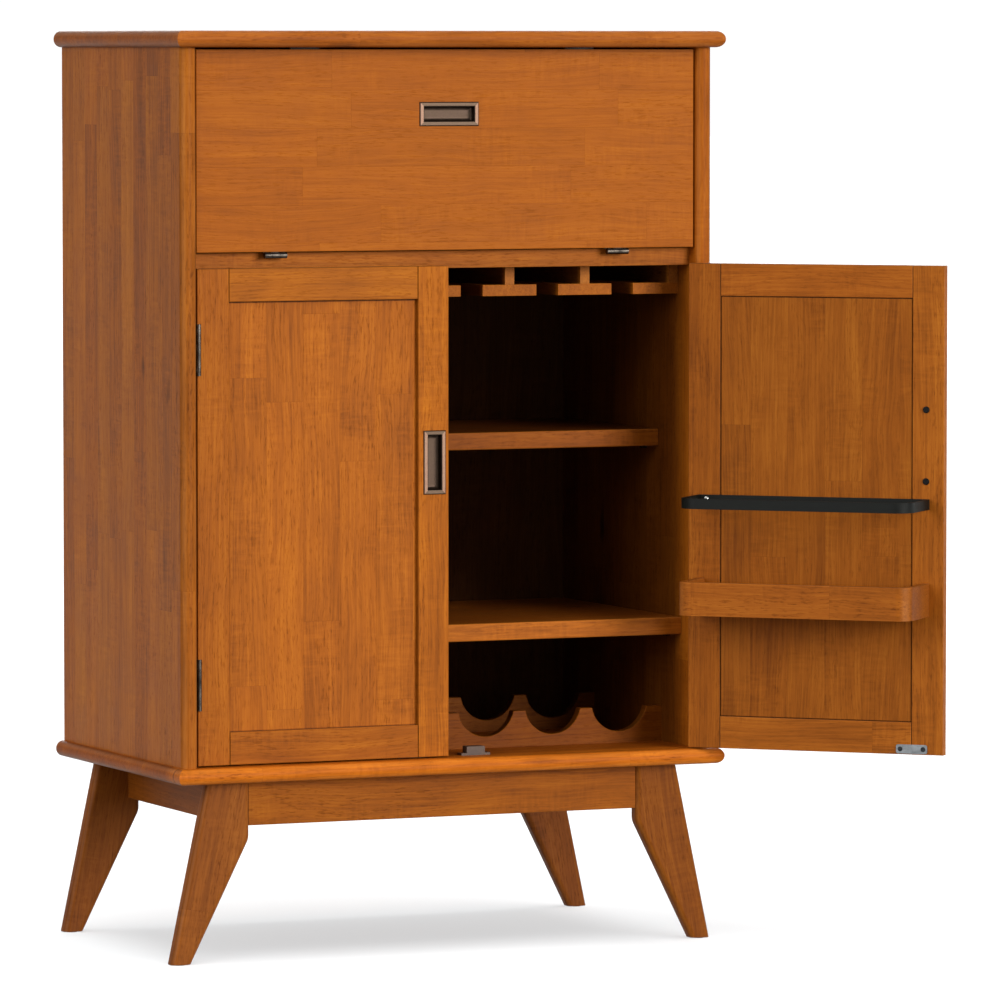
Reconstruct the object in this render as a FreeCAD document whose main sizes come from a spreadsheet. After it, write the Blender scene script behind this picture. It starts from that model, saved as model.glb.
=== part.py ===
import FreeCAD, Part
import math
import os
from FreeCAD import Vector, Rotation

# Bar cabinet: a wooden case on splayed legs, a pair of framed doors (the right
# one stands open and carries a tray with a guard), a drop-front above them on
# two slotted stays, two shelves, slotted rails under the divider and a pair of
# scalloped boards at the bottom.
# Frame: millimetres, +Z up, Z=0 on the floor, X=0 in the middle of the case,
# Y=0 half way between its front edge (-Y) and its back, -Y towards the user.

os.makedirs("parts", exist_ok=True)
doc = FreeCAD.newDocument("bar_cabinet")
sheet = doc.addObject("Spreadsheet::Sheet", "Sheet")

DIMS = [
    ("total_height", 1270.0), ("carcass_width", 792.0), ("carcass_depth", 454.0), ("side_thick", 23.4),
    ("top_thick", 22.8), ("plinth_top", 270.7), ("plinth_thick", 22.1), ("board_overhang", 12.35), ("board_front", 25.0),
    ("side_nose", 8.5), ("side_round", 11.6), ("edge_round", 1.2), ("small_round", 0.7), ("door_round", 1.1),
    ("rail_low", 944.5), ("rail_high", 968.6), ("rail_inset", 17.5), ("rail_deep", 22.0), ("divider_thick", 22.0),
    ("back_front", 445.6), ("back_thick", 6.0), ("back_rabbet", 8.0),
    ("shelf_thick", 24.0), ("upper_shelf_z", 711.0), ("upper_shelf_y", 119.5), ("lower_shelf_z", 450.3), ("lower_shelf_y", 41.7),
    ("shelf_play", 0.5), ("shelf_pin_radius", 2.5), ("shelf_pin_out", 9.0), ("shelf_pin_in", 9.0),
    ("flange_low", 903.5), ("flange_thick", 15.5), ("flange_half", 40.8), ("stem_pitch", 114.5), ("web_half", 7.0), ("stem_front", 53.6),
    ("rack_front_y", 107.0), ("rack_rear_y", 335.0), ("rack_thick", 15.0), ("rack_high", 321.0), ("scallop_radius", 42.5),
    ("scallop_z", 329.2), ("scallop_pitch", 102.3),
    ("leg_front_y", 13.0), ("leg_thick", 23.0), ("leg_rear_y", 431.0), ("leg_top_in", 290.5), ("leg_top_out", 352.0),
    ("leg_foot_in", 376.2), ("leg_foot_out", 404.9), ("leg_kink_z", 169.0), ("leg_kink_round", 22.0), ("leg_round", 7.5), ("glide_thick", 0.8), ("glide_radius", 8.5),
    ("apron_low", 187.0), ("apron_thick", 18.0), ("apron_set", 5.0), ("block_leg", 45.0), ("block_low", 208.0),
    ("door_low", 272.7), ("door_high", 948.0), ("door_thick", 15.0), ("door_mid_gap", 0.7), ("door_edge", 371.0),
    ("stile_hinge", 46.3), ("stile_free", 45.3), ("rail_top", 45.0), ("rail_bottom", 44.6), ("panel_thick", 4.5), ("panel_recess", 7.5),
    ("field_back", 1.5), ("reveal_back", 1.3), ("groove_deep", 8.0), ("groove_play", 0.3), ("joint_gap", 0.5), ("tongue_out", 6.0),
    ("hinge_x", 369.72), ("hinge_out", 3.0), ("door_open", 136.2), ("knuckle_radius", 2.7), ("pin_radius", 1.5), ("pin_play", 0.05),
    ("leaf_thick", 0.45), ("leaf_deep", 11.0), ("hinge_len", 70.0), ("hinge_low_z", 348.2), ("hinge_high_z", 803.4), ("knuckle_gap", 0.15),
    ("pull_long", 88.0), ("pull_wide", 33.0), ("pull_rim", 5.6), ("pull_proud", 2.2), ("pull_deep", 10.0), ("pull_wall", 1.0), ("pull_play", 0.3),
    ("pull_door_x", 21.9), ("pull_door_z", 678.3), ("pull_flap_z", 1156.1),
    ("strike_mid", 45.4), ("strike_half", 22.4), ("strike_low", 274.1), ("strike_tall", 12.6), ("strike_thick", 1.2), ("strike_screw", 16.5), ("strike_head", 3.4),
    ("catch_gap", 0.4), ("catch_x", 47.2), ("catch_half", 21.5), ("catch_body_half", 13.5), ("catch_base", 3.2), ("catch_tall", 12.2), ("catch_deep", 15.0), ("flap_catch_x", 205.0),
    ("tray_inner_x", 21.27), ("tray_outer_x", 358.03), ("tray_low", 464.1), ("tray_high", 510.3), ("tray_front", 110.0), ("tray_wall", 11.0),
    ("tray_floor", 9.0), ("tray_round", 20.0),
    ("guard_inner_x", 21.07), ("guard_outer_x", 355.94), ("guard_low", 611.9), ("guard_high", 626.4), ("guard_front", 112.0), ("guard_thick", 2.6),
    ("guard_round", 26.0), ("guard_screw_free_x", 31.0), ("guard_screw_free_z", 616.9), ("guard_screw_hinge_x", 343.96), ("guard_screw_hinge_z", 620.6), ("guard_screw_radius", 3.4),
    ("button_x", 26.2), ("button_low_z", 650.7), ("button_high_z", 749.6), ("button_radius", 4.7), ("button_tall", 1.8),
    ("flap_low", 969.8), ("flap_high", 1244.6), ("flap_half", 370.4), ("flap_left", 371.9), ("flap_thick", 18.0),
    ("flap_axis_y", 3.5), ("flap_axis_z", 965.2), ("flap_knuckle", 4.2), ("flap_pin", 1.8), ("flap_leaf", 0.5), ("flap_hinge_x", 255.5), ("flap_hinge_half", 16.0), ("flap_leaf_deep", 15.0),
    ("stay_arm", 170.0), ("stay_stand", 9.5), ("stay_spread", 18.0), ("stay_x", 361.5), ("stay_thick", 2.5), ("stay_half", 7.0),
    ("stay_reach", 90.0), ("stud_radius", 2.5), ("slot_play", 0.3),
]
for row, (alias, value) in enumerate(DIMS, start=1):
    sheet.set("A%d" % row, alias)
    sheet.set("B%d" % row, repr(value))
    sheet.setAlias("B%d" % row, alias)
doc.recompute()


class Q:
    """A length that carries its value and the sheet expression it comes from."""

    def __init__(self, v, e):
        self.v, self.e = float(v), e

    def __add__(self, o):
        o = q(o)
        return Q(self.v + o.v, "(%s + %s)" % (self.e, o.e))

    __radd__ = __add__

    def __sub__(self, o):
        o = q(o)
        return Q(self.v - o.v, "(%s - %s)" % (self.e, o.e))

    def __rsub__(self, o):
        return q(o) - self

    def __mul__(self, o):
        o = q(o)
        return Q(self.v * o.v, "(%s * %s)" % (self.e, o.e))

    __rmul__ = __mul__

    def __truediv__(self, o):
        o = q(o)
        return Q(self.v / o.v, "(%s / %s)" % (self.e, o.e))

    def __neg__(self):
        return Q(-self.v, "(0 - %s)" % self.e)


def q(o):
    return o if isinstance(o, Q) else Q(float(o), "(%s)" % repr(float(o)))


def qcos(a):
    return Q(math.cos(math.radians(a.v)), "cos(%s * 1 deg)" % a.e)


def qsin(a):
    return Q(math.sin(math.radians(a.v)), "sin(%s * 1 deg)" % a.e)


def qroot(a):
    return Q(math.sqrt(a.v), "sqrt(%s)" % a.e)


D = {alias: Q(float(sheet.get(alias)), "Sheet." + alias) for alias, value in DIMS}

half = D["carcass_width"] / 2
inner = half - D["side_thick"]
front = -(D["carcass_depth"] / 2)
back = D["carcass_depth"] / 2
top_low = D["total_height"] - D["top_thick"]
plinth_low = D["plinth_top"] - D["plinth_thick"]

PARTS = []
LATER = []
ROLE = {"XY": "XY_Plane", "XZ": "XZ_Plane", "YZ": "YZ_Plane"}


def bind(obj, prop, value):
    obj.setExpression(prop, q(value).e)


def body(label, place=None):
    b = doc.addObject("PartDesign::Body", "B_" + label)
    b.Label = label
    if hasattr(b, "AllowCompound"):
        b.AllowCompound = True
    if place:
        LATER.append((b, place))
    PARTS.append(b)
    return b


def open_door(obj):
    """Turn a piece of the right door about its hinge axis into the rest pose."""
    a, cx, cy = D["door_open"], D["hinge_x"], front - D["hinge_out"]
    obj.Placement = FreeCAD.Placement(Vector(0, 0, 0), Rotation(Vector(0, 0, 1), a.v))
    bind(obj, "Placement.Rotation.Angle", a)
    bind(obj, "Placement.Base.x", cx - (cx * qcos(a) - cy * qsin(a)))
    bind(obj, "Placement.Base.y", cy - (cx * qsin(a) + cy * qcos(a)))


def sketch(b, plane, offset, polys=(), circles=(), origin=None):
    sk = b.newObject("Sketcher::SketchObject", "Sk_" + b.Label)
    base = [f for f in b.Origin.OriginFeatures if f.Role == ROLE[plane]][0]
    sk.AttachmentSupport = [(base, "")]
    sk.MapMode = "FlatFace"
    bind(sk, "AttachmentOffset.Base.z", -offset if plane == "XZ" else offset)
    if origin:
        bind(sk, "AttachmentOffset.Base.x", origin[0])
        bind(sk, "AttachmentOffset.Base.y", origin[1])
    todo = []
    for poly in polys:
        n, first = len(poly), sk.GeometryCount
        pts = [(q(x), q(y)) for x, y in poly]
        for i in range(n):
            (x0, y0), (x1, y1) = pts[i], pts[(i + 1) % n]
            sk.addGeometry(Part.LineSegment(Vector(x0.v, y0.v, 0), Vector(x1.v, y1.v, 0)), False)
        for i in range(n):
            sk.addConstraint(Sketcher.Constraint("Coincident", first + i, 2, first + (i + 1) % n, 1))
        for i in range(n):
            x, y = pts[i]
            todo.append((sk.addConstraint(Sketcher.Constraint("DistanceX", -1, 1, first + i, 1, x.v)), x))
            todo.append((sk.addConstraint(Sketcher.Constraint("DistanceY", -1, 1, first + i, 1, y.v)), y))
    for x, y, r in circles:
        x, y, r = q(x), q(y), q(r)
        g = sk.addGeometry(Part.Circle(Vector(x.v, y.v, 0), Vector(0, 0, 1), r.v), False)
        todo.append((sk.addConstraint(Sketcher.Constraint("Radius", g, r.v)), r))
        todo.append((sk.addConstraint(Sketcher.Constraint("DistanceX", -1, 1, g, 3, x.v)), x))
        todo.append((sk.addConstraint(Sketcher.Constraint("DistanceY", -1, 1, g, 3, y.v)), y))
    for index, value in todo:
        sk.setExpression("Constraints[%d]" % index, value.e)
    sk.Visibility = False
    return sk


def rect(x0, x1, y0, y1):
    return [(x0, y0), (x1, y0), (x1, y1), (x0, y1)]


def pad(b, plane, lo, hi, polys=(), circles=()):
    lo, hi = q(lo), q(hi)
    sk = sketch(b, plane, hi if plane == "XZ" else lo, polys, circles)
    f = b.newObject("PartDesign::Pad", "Pad_" + b.Label)
    f.Profile = sk
    bind(f, "Length", hi - lo)
    doc.recompute()
    return f


def pocket(b, plane, lo, hi, polys=(), circles=()):
    lo, hi = q(lo), q(hi)
    before = b.Shape.Volume
    sk = sketch(b, plane, lo if plane == "XZ" else hi, polys, circles)
    f = b.newObject("PartDesign::Pocket", "Pocket_" + b.Label)
    f.Profile = sk
    bind(f, "Length", hi - lo)
    doc.recompute()
    if not b.Shape.Volume < before - 1e-3:
        raise RuntimeError("pocket cuts nothing in " + b.Label)
    return f


def revolve(b, plane, offset, origin, polys, axis):
    sk = sketch(b, plane, offset, polys, origin=origin)
    f = b.newObject("PartDesign::Revolution", "Rev_" + b.Label)
    f.Profile = sk
    f.ReferenceAxis = (sk, [axis])
    f.Angle = 360.0
    doc.recompute()
    return f


def lines(shape, direction=None, where=None):
    """Names of the straight edges along one axis whose middle passes a test."""
    out = []
    for i, e in enumerate(shape.Edges, start=1):
        if not isinstance(e.Curve, (Part.Line, Part.LineSegment)) or len(e.Vertexes) != 2:
            continue
        d = e.Vertexes[1].Point - e.Vertexes[0].Point
        if direction and abs(abs(d.normalize().dot(direction)) - 1) > 1e-6:
            continue
        m = e.CenterOfMass
        if where is None or where(m):
            out.append("Edge%d" % i)
    return out


def any_edges(shape, where):
    return ["Edge%d" % i for i, e in enumerate(shape.Edges, start=1) if where(e)]


def dress(b, kind, names, size):
    if not names:
        raise RuntimeError("no edges picked in " + b.Label)
    f = b.newObject("PartDesign::" + kind, kind + "_" + b.Label)
    f.Base = (b.Group[-2], names)
    bind(f, "Radius" if kind == "Fillet" else "Size", size)
    doc.recompute()
    if not f.Shape.isValid() or f.Shape.isNull() or "Invalid" in f.State:
        raise RuntimeError(kind + " failed in " + b.Label)
    return f


X, Y, Z = Vector(1, 0, 0), Vector(0, 1, 0), Vector(0, 0, 1)
import Sketcher


def near(a, b, tol=0.05):
    return abs(a - b) < tol


# ---- top and bottom boards: half-round front and side edges that meet in a mitre
def overhanging_board(label, lo, hi):
    b = body(label)
    w, o = half + D["board_overhang"], D["board_front"]
    pad(b, "XY", lo, hi, [rect(-w, w, front - o, back)])
    yb, zl, zh = back.v, q(lo).v, q(hi).v
    rim = any_edges(b.Shape, lambda e: not near(e.CenterOfMass.y, yb) and (near(e.BoundBox.ZMin, zl) and near(e.BoundBox.ZMax, zl)
                    or near(e.BoundBox.ZMin, zh) and near(e.BoundBox.ZMax, zh)))
    dress(b, "Fillet", rim, (q(hi) - q(lo)) / 2 - 0.15)
    return b


top_board = overhanging_board("top_board", top_low, D["total_height"])
bottom_board = overhanging_board("bottom_board", plinth_low, D["plinth_top"])

# ---- the two sides: half-round front edge, a rabbet for the back, holes for pins and screws
screw_z = [D["plinth_top"] + 40 + 224.0 * k for k in range(5)]
screw_x = inner + D["back_rabbet"] / 2
pin_rows = [(front + D["upper_shelf_y"] + 40, D["upper_shelf_z"]), (back - 48, D["upper_shelf_z"]),
            (front + D["lower_shelf_y"] + 40, D["lower_shelf_z"]), (back - 48, D["lower_shelf_z"])]
SCREW_R, SCREW_IN = 1.6, 14.0
for label, s in (("left_side_panel", -1), ("right_side_panel", 1)):
    b = body(label)
    nose = front - D["side_nose"]
    pad(b, "XY", D["plinth_top"], top_low, [rect(s * inner, s * half, nose, back)])
    pocket(b, "XY", D["plinth_top"], top_low, [rect(s * (inner - 1), s * (inner + D["back_rabbet"]), front + D["back_front"], back + 1)])
    fy = nose.v
    dress(b, "Fillet", lines(b.Shape, Z, lambda m: near(m.y, fy)), D["side_round"])
    lo, hi = (inner - 1, inner + D["shelf_pin_in"]) if s > 0 else (-(inner + D["shelf_pin_in"]), -(inner - 1))
    pocket(b, "YZ", lo, hi, circles=[(y, z - D["shelf_thick"] - D["shelf_pin_radius"], D["shelf_pin_radius"]) for y, z in pin_rows])
    pocket(b, "XZ", front + D["back_front"] - SCREW_IN, front + D["back_front"] + 1, circles=[(s * screw_x, z, SCREW_R) for z in screw_z])

# ---- back panel in the rabbets, and its screws
b = body("back_panel")
bx = inner + D["back_rabbet"]
by = front + D["back_front"]
pad(b, "XZ", by, by + D["back_thick"], [rect(-bx, bx, D["plinth_top"], top_low)])
back_screws = [(s * screw_x, z) for s in (-1, 1) for z in screw_z] + [(x, D["rail_high"] - D["divider_thick"] / 2) for x in (q(-200), q(0), q(200))]
pocket(b, "XZ", by - 1, by + D["back_thick"] + 1, circles=[(x, z, SCREW_R) for x, z in back_screws])
b = body("back_panel_screws")
pad(b, "XZ", by - SCREW_IN, by + D["back_thick"], circles=[(x, z, SCREW_R) for x, z in back_screws])
pad(b, "XZ", by + D["back_thick"], by + D["back_thick"] + 1.9, circles=[(x, z, 3.6) for x, z in back_screws])
yh = (by + D["back_thick"] + 1.9).v
dress(b, "Fillet", any_edges(b.Shape, lambda e: near(e.BoundBox.YMin, yh) and near(e.BoundBox.YMax, yh)), 1.2)
for k in (0, 1):
    long, thin = (2.2, 0.45) if k == 0 else (0.45, 2.2)
    pocket(b, "XZ", by + D["back_thick"] + 0.7, by + D["back_thick"] + 3, [rect(x - long, x + long, z - thin, z + thin) for x, z in back_screws])

# ---- divider, front rail and shelves
b = body("divider_shelf")
dz = D["rail_high"] - D["divider_thick"]
pad(b, "XY", dz, D["rail_high"], [rect(-inner, inner, front + D["rail_inset"] + D["rail_deep"], by)])
pocket(b, "XZ", by - SCREW_IN, by + 1, circles=[(x, D["rail_high"] - D["divider_thick"] / 2, SCREW_R) for x in (q(-200), q(0), q(200))])
b = body("front_rail")
pad(b, "XY", D["rail_low"], D["rail_high"], [rect(-inner, inner, front + D["rail_inset"], front + D["rail_inset"] + D["rail_deep"])])
fy = (front + D["rail_inset"]).v
dress(b, "Fillet", lines(b.Shape, X, lambda m: near(m.y, fy)), D["small_round"])
for label, y0, z1 in (("upper_shelf", D["upper_shelf_y"], D["upper_shelf_z"]), ("lower_shelf", D["lower_shelf_y"], D["lower_shelf_z"])):
    b = body(label)
    sx = inner - D["shelf_play"]
    pad(b, "XY", z1 - D["shelf_thick"], z1, [rect(-sx, sx, front + y0, by - 1)])
    fy = (front + y0).v
    dress(b, "Fillet", lines(b.Shape, X, lambda m: near(m.y, fy)), 2.0)
b = body("shelf_pins")
for s in (-1, 1):
    lo, hi = (inner - D["shelf_pin_out"], inner + D["shelf_pin_in"]) if s > 0 else (-(inner + D["shelf_pin_in"]), -(inner - D["shelf_pin_out"]))
    pad(b, "YZ", lo, hi, circles=[(y, z - D["shelf_thick"] - D["shelf_pin_radius"], D["shelf_pin_radius"]) for y, z in pin_rows])

# ---- slotted rails: webs under the divider, flanges under the webs
sy0, sy1 = front + D["stem_front"], by - 0.5
centres = [k * D["stem_pitch"] for k in (-2, -1, 0, 1, 2)]
fl_lo, fl_hi = D["flange_low"], D["flange_low"] + D["flange_thick"]
end_in = 3 * D["stem_pitch"] - D["flange_half"]
b = body("stemware_flanges")
flanges = [rect(c - D["flange_half"], c + D["flange_half"], fl_lo, fl_hi) for c in centres]
flanges += [rect(end_in, inner, fl_lo, fl_hi), rect(-inner, -end_in, fl_lo, fl_hi)]
pad(b, "XZ", sy0, sy1, flanges)
fy = sy0.v
dress(b, "Fillet", lines(b.Shape, None, lambda m: near(m.y, fy)), D["small_round"])
b = body("stemware_webs")
webs = [rect(c - D["web_half"], c + D["web_half"], fl_hi, dz) for c in centres]
webs += [rect(inner - 1 - 2 * D["web_half"], inner - 1, fl_hi, dz), rect(1 - inner, 1 - inner + 2 * D["web_half"], fl_hi, dz)]
pad(b, "XZ", sy0, sy1, webs)

# ---- scalloped boards on the bottom board
for label, y0 in (("wine_rack_front", D["rack_front_y"]), ("wine_rack_rear", D["rack_rear_y"])):
    b = body(label)
    ya, yb_ = front + y0, front + y0 + D["rack_thick"]
    pad(b, "XZ", ya, yb_, [rect(-inner, inner, D["plinth_top"], D["rack_high"])])
    pocket(b, "XZ", ya - 1, yb_ + 1, circles=[(k * D["scallop_pitch"], D["scallop_z"], D["scallop_radius"]) for k in range(-3, 4)])
    zt = D["rack_high"].v
    ylo, yhi = ya.v, yb_.v
    dress(b, "Fillet", any_edges(b.Shape, lambda e: (near(e.BoundBox.YMin, ylo) and near(e.BoundBox.YMax, ylo) or near(e.BoundBox.YMin, yhi) and near(e.BoundBox.YMax, yhi))
                                 and (e.Curve.TypeId == "Part::GeomCircle" or near(e.CenterOfMass.z, zt))), 1.2)

# ---- legs: boards that stand upright inside down to a kink and splay outwards below it
ll, lt = D["glide_thick"], D["leg_thick"]
slope = (D["leg_foot_out"] - D["leg_top_out"]) / plinth_low
slope_in = (D["leg_foot_in"] - D["leg_top_in"]) / D["leg_kink_z"]
for label, s, y0 in (("front_left_leg", -1, D["leg_front_y"]), ("front_right_leg", 1, D["leg_front_y"]),
                     ("rear_left_leg", -1, D["leg_rear_y"]), ("rear_right_leg", 1, D["leg_rear_y"])):
    b = body(label)
    ya = front + y0
    prof = [(s * D["leg_top_in"], plinth_low), (s * D["leg_top_out"], plinth_low), (s * (D["leg_foot_out"] - slope * ll), ll),
            (s * (D["leg_foot_in"] - slope_in * ll), ll), (s * D["leg_top_in"], D["leg_kink_z"])]
    pad(b, "XZ", ya, ya + lt, [prof])
    kx, kz = (s * D["leg_top_in"]).v, D["leg_kink_z"].v
    dress(b, "Fillet", lines(b.Shape, Y, lambda m: near(m.x, kx) and near(m.z, kz)), D["leg_kink_round"])
    zt, zb = plinth_low.v, ll.v
    dress(b, "Fillet", any_edges(b.Shape, lambda e: e.BoundBox.YLength < 0.01 and not near(e.CenterOfMass.z, zt) and not near(e.CenterOfMass.z, zb)), D["leg_round"])
    dress(b, "Chamfer", any_edges(b.Shape, lambda e: near(e.BoundBox.ZMin, zb) and near(e.BoundBox.ZMax, zb)), 0.6)

# ---- aprons between the legs, corner blocks inside them, glides under the feet
ay0 = front + D["leg_front_y"] + D["apron_set"]
ay1 = ay0 + D["apron_thick"]
ry1 = front + D["leg_rear_y"] + lt - D["apron_set"]
ry0 = ry1 - D["apron_thick"]
ax = D["leg_top_in"]
b = body("front_apron")
pad(b, "XZ", ay0, ay1, [rect(-ax, ax, D["apron_low"], plinth_low)])
fy, zl = ay0.v, D["apron_low"].v
dress(b, "Fillet", lines(b.Shape, X, lambda m: near(m.y, fy) and near(m.z, zl)), 1.5)
b = body("rear_apron")
pad(b, "XZ", ry0, ry1, [rect(-ax, ax, D["apron_low"], plinth_low)])
b = body("side_aprons")
sa0, sa1 = front + D["leg_front_y"] + lt, front + D["leg_rear_y"]
sides = [rect(s * ax, s * (ax + D["apron_thick"]), sa0, sa1) for s in (-1, 1)]
pad(b, "XY", D["apron_low"], plinth_low, sides)
ox, zl = (ax + D["apron_thick"]).v, D["apron_low"].v
dress(b, "Fillet", lines(b.Shape, Y, lambda m: near(abs(m.x), ox) and near(m.z, zl)), 1.5)
b = body("corner_blocks")
bl = D["block_leg"]
tri = []
for s in (-1, 1):
    tri.append([(s * ax, ay1), (s * (ax - bl), ay1), (s * ax, ay1 + bl)])
    tri.append([(s * ax, ry0), (s * (ax - bl), ry0), (s * ax, ry0 - bl)])
pad(b, "XY", D["block_low"], plinth_low, tri)
b = body("foot_glides")
foot_x = (D["leg_foot_in"] + D["leg_foot_out"]) / 2
feet = [(s * foot_x, front + y0 + lt / 2) for s in (-1, 1) for y0 in (D["leg_front_y"], D["leg_rear_y"])]
pad(b, "XY", 0, ll, circles=[(x, y, D["glide_radius"]) for x, y in feet])


# ---- butt hinges of the doors: five knuckles, the fixed leaf carries the pin
def knuckle_cuts(z0, n=5):
    step = D["hinge_len"] / n
    return [q(z0) + step * k for k in range(n + 1)]


def door_hinges(label_fixed, label_moving, s, place):
    axx, axy = s * D["hinge_x"], front - D["hinge_out"]
    g, kr, pr = D["knuckle_gap"], D["knuckle_radius"], D["pin_radius"]
    comb_y, leaf_y = front + 0.35, front + D["leaf_deep"]
    for label, own, x0, x1, put in ((label_fixed, (0, 2, 4), s * (inner - D["leaf_thick"]), s * inner, None),
                                    (label_moving, (1, 3), s * D["door_edge"], s * (D["door_edge"] + D["leaf_thick"]), place)):
        b = body(label, put)
        combs, turned = [], []
        for z0 in (D["hinge_low_z"], D["hinge_high_z"]):
            cuts = knuckle_cuts(z0)
            if own == (1, 3):
                pts = [(leaf_y, cuts[5]), (leaf_y, cuts[0]), (comb_y, cuts[0]), (comb_y, cuts[1] + g), (axy, cuts[1] + g), (axy, cuts[2] - g), (comb_y, cuts[2] - g),
                       (comb_y, cuts[3] + g), (axy, cuts[3] + g), (axy, cuts[4] - g), (comb_y, cuts[4] - g), (comb_y, cuts[5])]
            else:
                pts = [(leaf_y, cuts[5]), (leaf_y, cuts[0]), (axy, cuts[0]), (axy, cuts[1] - g), (comb_y, cuts[1] - g), (comb_y, cuts[2] + g), (axy, cuts[2] + g),
                       (axy, cuts[3] - g), (comb_y, cuts[3] - g), (comb_y, cuts[4] + g), (axy, cuts[4] + g), (axy, cuts[5])]
            combs.append(pts)
            if own == (1, 3):
                turned += [rect(pr + D["pin_play"], kr, cuts[k] + g, cuts[k + 1] - g) for k in own]
            else:
                turned.append([(q(0), cuts[0]), (kr, cuts[0]), (kr, cuts[1] - g), (pr, cuts[1] - g), (pr, cuts[2] + g), (kr, cuts[2] + g), (kr, cuts[3] - g), (pr, cuts[3] - g),
                               (pr, cuts[4] + g), (kr, cuts[4] + g), (kr, cuts[5]), (q(0), cuts[5])])
        lo, hi = (x0, x1) if x0.v < x1.v else (x1, x0)
        pad(b, "YZ", lo, hi, combs)
        revolve(b, "XZ", axy, (axx, q(0)), turned, "V_Axis")
        if own == (1, 3):
            pocket(b, "XY", D["hinge_low_z"] - 1, D["hinge_high_z"] + D["hinge_len"] + 1, circles=[(axx, axy, pr + D["pin_play"])])


door_hinges("left_door_hinge_fixed_leaves", "left_door_hinge_leaves", -1, None)
door_hinges("right_door_hinge_fixed_leaves", "right_door_hinge_leaves", 1, open_door)


# ---- doors: stiles and rails around a panel held in grooves
def door(side, s, place):
    x_hinge, x_free = D["door_edge"], D["door_mid_gap"]
    z0, z1, y0, y1 = D["door_low"], D["door_high"], front, front + D["door_thick"]
    sh, sf, rt, rb_, gd, gp, dr = D["stile_hinge"], D["stile_free"], D["rail_top"], D["rail_bottom"], D["groove_deep"], D["groove_play"], D["door_round"]
    py0 = front + D["panel_recess"]
    py1 = py0 + D["panel_thick"]
    a, c = x_hinge - sh, x_free + sf
    jg, to_ = D["joint_gap"], D["tongue_out"]
    # hinge stile
    b = body(side + "_door_hinge_stile", place)
    pad(b, "XY", z0, z1, [rect(s * a, s * x_hinge, y0, y1)])
    pocket(b, "XY", z0 + 10, z1 - 10, [rect(s * (a - 1), s * (a + gd), py0 - gp, py1 + gp)])
    ya, yb2 = y0.v, y1.v
    dress(b, "Fillet", lines(b.Shape, None, lambda m: near(m.y, ya) or near(m.y, yb2)), dr)
    # free stile, cut out for the cup of the pull
    b = body(side + "_door_free_stile", place)
    pad(b, "XY", z0, z1, [rect(s * x_free, s * c, y0, y1)])
    pocket(b, "XY", z0 + 10, z1 - 10, [rect(s * (c - gd), s * (c + 1), py0 - gp, py1 + gp)])
    dress(b, "Fillet", lines(b.Shape, None, lambda m: near(m.y, ya) or near(m.y, yb2)), dr)
    cw, ch = D["pull_wide"] / 2 - D["pull_rim"] + D["pull_play"], D["pull_long"] / 2 - D["pull_rim"] + D["pull_play"]
    px, pz = s * D["pull_door_x"], D["pull_door_z"]
    pocket(b, "XZ", front - 1, front + D["pull_deep"] + D["pull_wall"] + 0.5, [rect(px - cw, px + cw, pz - ch, pz + ch)])
    if side == "right":
        pocket(b, "XZ", y1 - 2.5, y1 + 1, circles=[(D["button_x"], z, 2.0) for z in (D["button_low_z"], D["button_high_z"])])
        pocket(b, "XZ", y1 - 9, y1 + 1, circles=[(D["guard_screw_free_x"], D["guard_screw_free_z"], 1.5)])
    # rails
    for name, ra, rb, grooved in ((side + "_door_top_rail", z1 - rt, z1, -1), (side + "_door_bottom_rail", z0, z0 + rb_, 1)):
        b = body(name, place)
        pad(b, "XY", ra, rb, [rect(s * (c + jg), s * (a - jg), y0, y1)])
        if grooved < 0:
            pocket(b, "XY", ra - 1, ra + gd, [rect(s * (c - 1), s * (a + 1), py0 - gp, py1 + gp)])
        else:
            pocket(b, "XY", rb - gd, rb + 1, [rect(s * (c - 1), s * (a + 1), py0 - gp, py1 + gp)])
        zz = (ra.v, rb.v)
        dress(b, "Fillet", lines(b.Shape, X, lambda m: (near(m.y, ya) or near(m.y, yb2)) and (near(m.z, zz[0]) or near(m.z, zz[1])))
              + lines(b.Shape, Z, lambda m: near(m.y, ya) or near(m.y, yb2)), dr)
        ta, tb = (ra + gd + 1, rb - 10) if grooved < 0 else (ra + 10, rb - gd - 1)
        for t0, t1 in ((c - to_, c + jg + 1), (a - jg - 1, a + to_)):
            pad(b, "XY", ta, tb, [rect(s * t0, s * t1, py0 - gp, py1 + gp)])
        if grooved > 0:
            sm, st = s * D["strike_mid"], D["strike_screw"]
            zc = D["strike_low"] + D["strike_tall"] / 2
            hole_x = sm + st if s > 0 else sm - st
            pocket(b, "XZ", y1 - 8, y1 + 1, circles=[(hole_x, zc, SCREW_R)])
    # the other hole of the strike lies in the free stile
    stile = doc.getObjectsByLabel(side + "_door_free_stile")[0]
    zc = D["strike_low"] + D["strike_tall"] / 2
    pocket(stile, "XZ", y1 - 8, y1 + 1, circles=[(s * (D["strike_mid"] - D["strike_screw"]), zc, SCREW_R)])
    # panel: a tongue in the grooves, plain in front, with a raised field and a small reveal at the back
    b = body(side + "_door_panel", place)
    pl, vb = gd - gp, D["reveal_back"]
    pad(b, "XZ", py0, py1, [rect(s * (c - pl), s * (a + pl), z0 + rb_ - pl, z1 - rt + pl)])
    pad(b, "XZ", py1, py1 + D["field_back"], [rect(s * (c + vb), s * (a - vb), z0 + rb_ + vb, z1 - rt - vb)])
    yb3 = (py1 + D["field_back"]).v
    dress(b, "Fillet", lines(b.Shape, None, lambda m: near(m.y, yb3)), D["small_round"])
    # pull: a framed cup let into the stile
    pull_vertical(side + "_door_pull", px, pz, place)
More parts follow.
